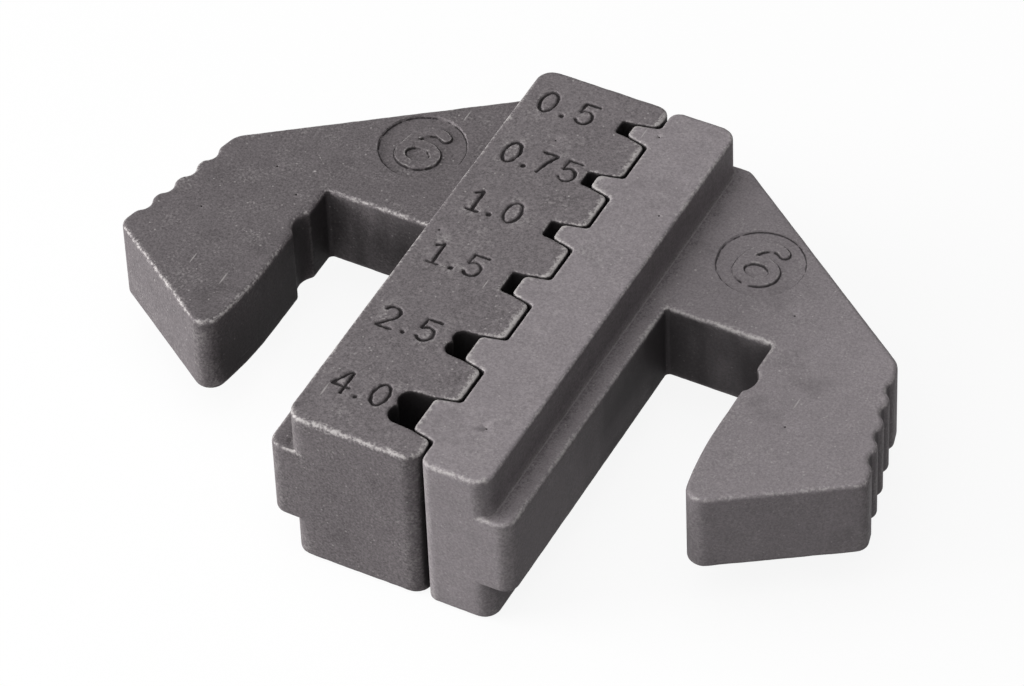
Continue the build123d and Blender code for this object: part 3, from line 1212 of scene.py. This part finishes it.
studio = {
    "floorReach": 3.0,
    "floorLevel": -0.00003,  # just under the object, so that no planes are shared
    "floorSeen": (0.9, 0.9, 0.9, 1),  # the floor's colour, as camera and metal see it
    "floorGlow": 0.9,  # share of plain white in it
    "floorBounce": (0.1, 0.1, 0.1, 1),  # what it gives back to the object as light
    "worldSeen": (1, 1, 1, 1),
    "worldLight": (0.07, 0.07, 0.07, 1),
    # Each lamp: place, width and height in metres, and power
    "lamps": {
        "leftSoftbox": ((-0.527, -0.246, 0.15), 0.4, 0.28, 4.9),
        "frontSoftbox": ((0.0, -0.57, 0.2), 0.3, 0.3, 0.7),
        "topSoftbox": ((-0.085, -0.14, 0.56), 0.85, 0.85, 3.5),
    },
}


def seenRays(board):
    # 1 for rays from the camera, from gloss and through glass, and 0 for other light
    kinds = [
        board.node("ShaderNodeLightPath", output=name)
        for name in ("Is Camera Ray", "Is Glossy Ray", "Is Transmission Ray")
    ]
    return board.maths("MINIMUM", kinds[0] + kinds[1] + kinds[2], 1.0)


def floorMaterial():
    made = bpy.data.materials.new("paleFloor")
    board = freshBoard(made)
    bounce = board.node("ShaderNodeBsdfDiffuse", None, {"Color": studio["floorBounce"]})
    matt = board.node("ShaderNodeBsdfDiffuse", None, {"Color": studio["floorSeen"]})
    white = board.node("ShaderNodeEmission", None, {"Color": (1, 1, 1, 1), "Strength": 1.0})
    seen = board.node("ShaderNodeMixShader", None, {0: studio["floorGlow"], 1: matt, 2: white})
    surface = board.node("ShaderNodeMixShader", None, {0: seenRays(board), 1: bounce, 2: seen})
    board.node("ShaderNodeOutputMaterial", None, {"Surface": surface})
    return made


def makeWorld():
    world = bpy.data.worlds.new("studio")
    board = freshBoard(world)
    light = board.node("ShaderNodeBackground", None, {"Color": studio["worldLight"]})
    seen = board.node("ShaderNodeBackground", None, {"Color": studio["worldSeen"]})
    both = board.node("ShaderNodeMixShader", None, {0: seenRays(board), 1: light, 2: seen})
    board.node("ShaderNodeOutputWorld", None, {"Surface": both})
    bpy.context.scene.world = world


def addLamp(name, place, width, height, power):
    data = bpy.data.lights.new(name, "AREA")
    data.shape = "RECTANGLE"
    data.size = width
    data.size_y = height
    data.energy = power
    lamp = newObject(name, data)
    lamp.location = place
    lamp.rotation_euler = (-Vector(place)).to_track_quat("-Z", "Y").to_euler()
    lamp.visible_camera = False


cameraLook = {
    # Where the photograph was taken from, in the CAD frame
    "place": (140.062, -248.316, 294.761),
    "right": (0.8851245, 0.4642723, -0.0317146),
    "down": (0.3110764, -0.6409923, -0.7016839),
    "lens": 223.67,
    "sensor": 36,
    "clip": (0.05, 20),
}


def setCamera():
    data = bpy.data.cameras.new("camera")
    data.lens = cameraLook["lens"]
    data.sensor_width = cameraLook["sensor"]
    data.clip_start, data.clip_end = cameraLook["clip"]
    camera = newObject("camera", data)
    right = Vector(cameraLook["right"]).normalized()
    up = -Vector(cameraLook["down"]).normalized()
    turn = Matrix((right, up, right.cross(up))).transposed()
    camera.matrix_world = Matrix.Translation(Vector(cameraLook["place"]) * mm) @ turn.to_4x4()
    bpy.context.scene.camera = camera


reach = studio["floorReach"]
corners = [(-reach, -reach), (reach, -reach), (reach, reach), (-reach, reach)]
floorMesh = bpy.data.meshes.new("floor")
floorMesh.from_pydata([(x, y, studio["floorLevel"]) for x, y in corners], [], [(0, 1, 2, 3)])
floorMesh.materials.append(floorMaterial())
newObject("floor", floorMesh)
makeWorld()
for name, look in studio["lamps"].items():
    addLamp(name, *look)
setCamera()
bpy.context.scene.view_settings.view_transform = "Standard"
print("studio made")
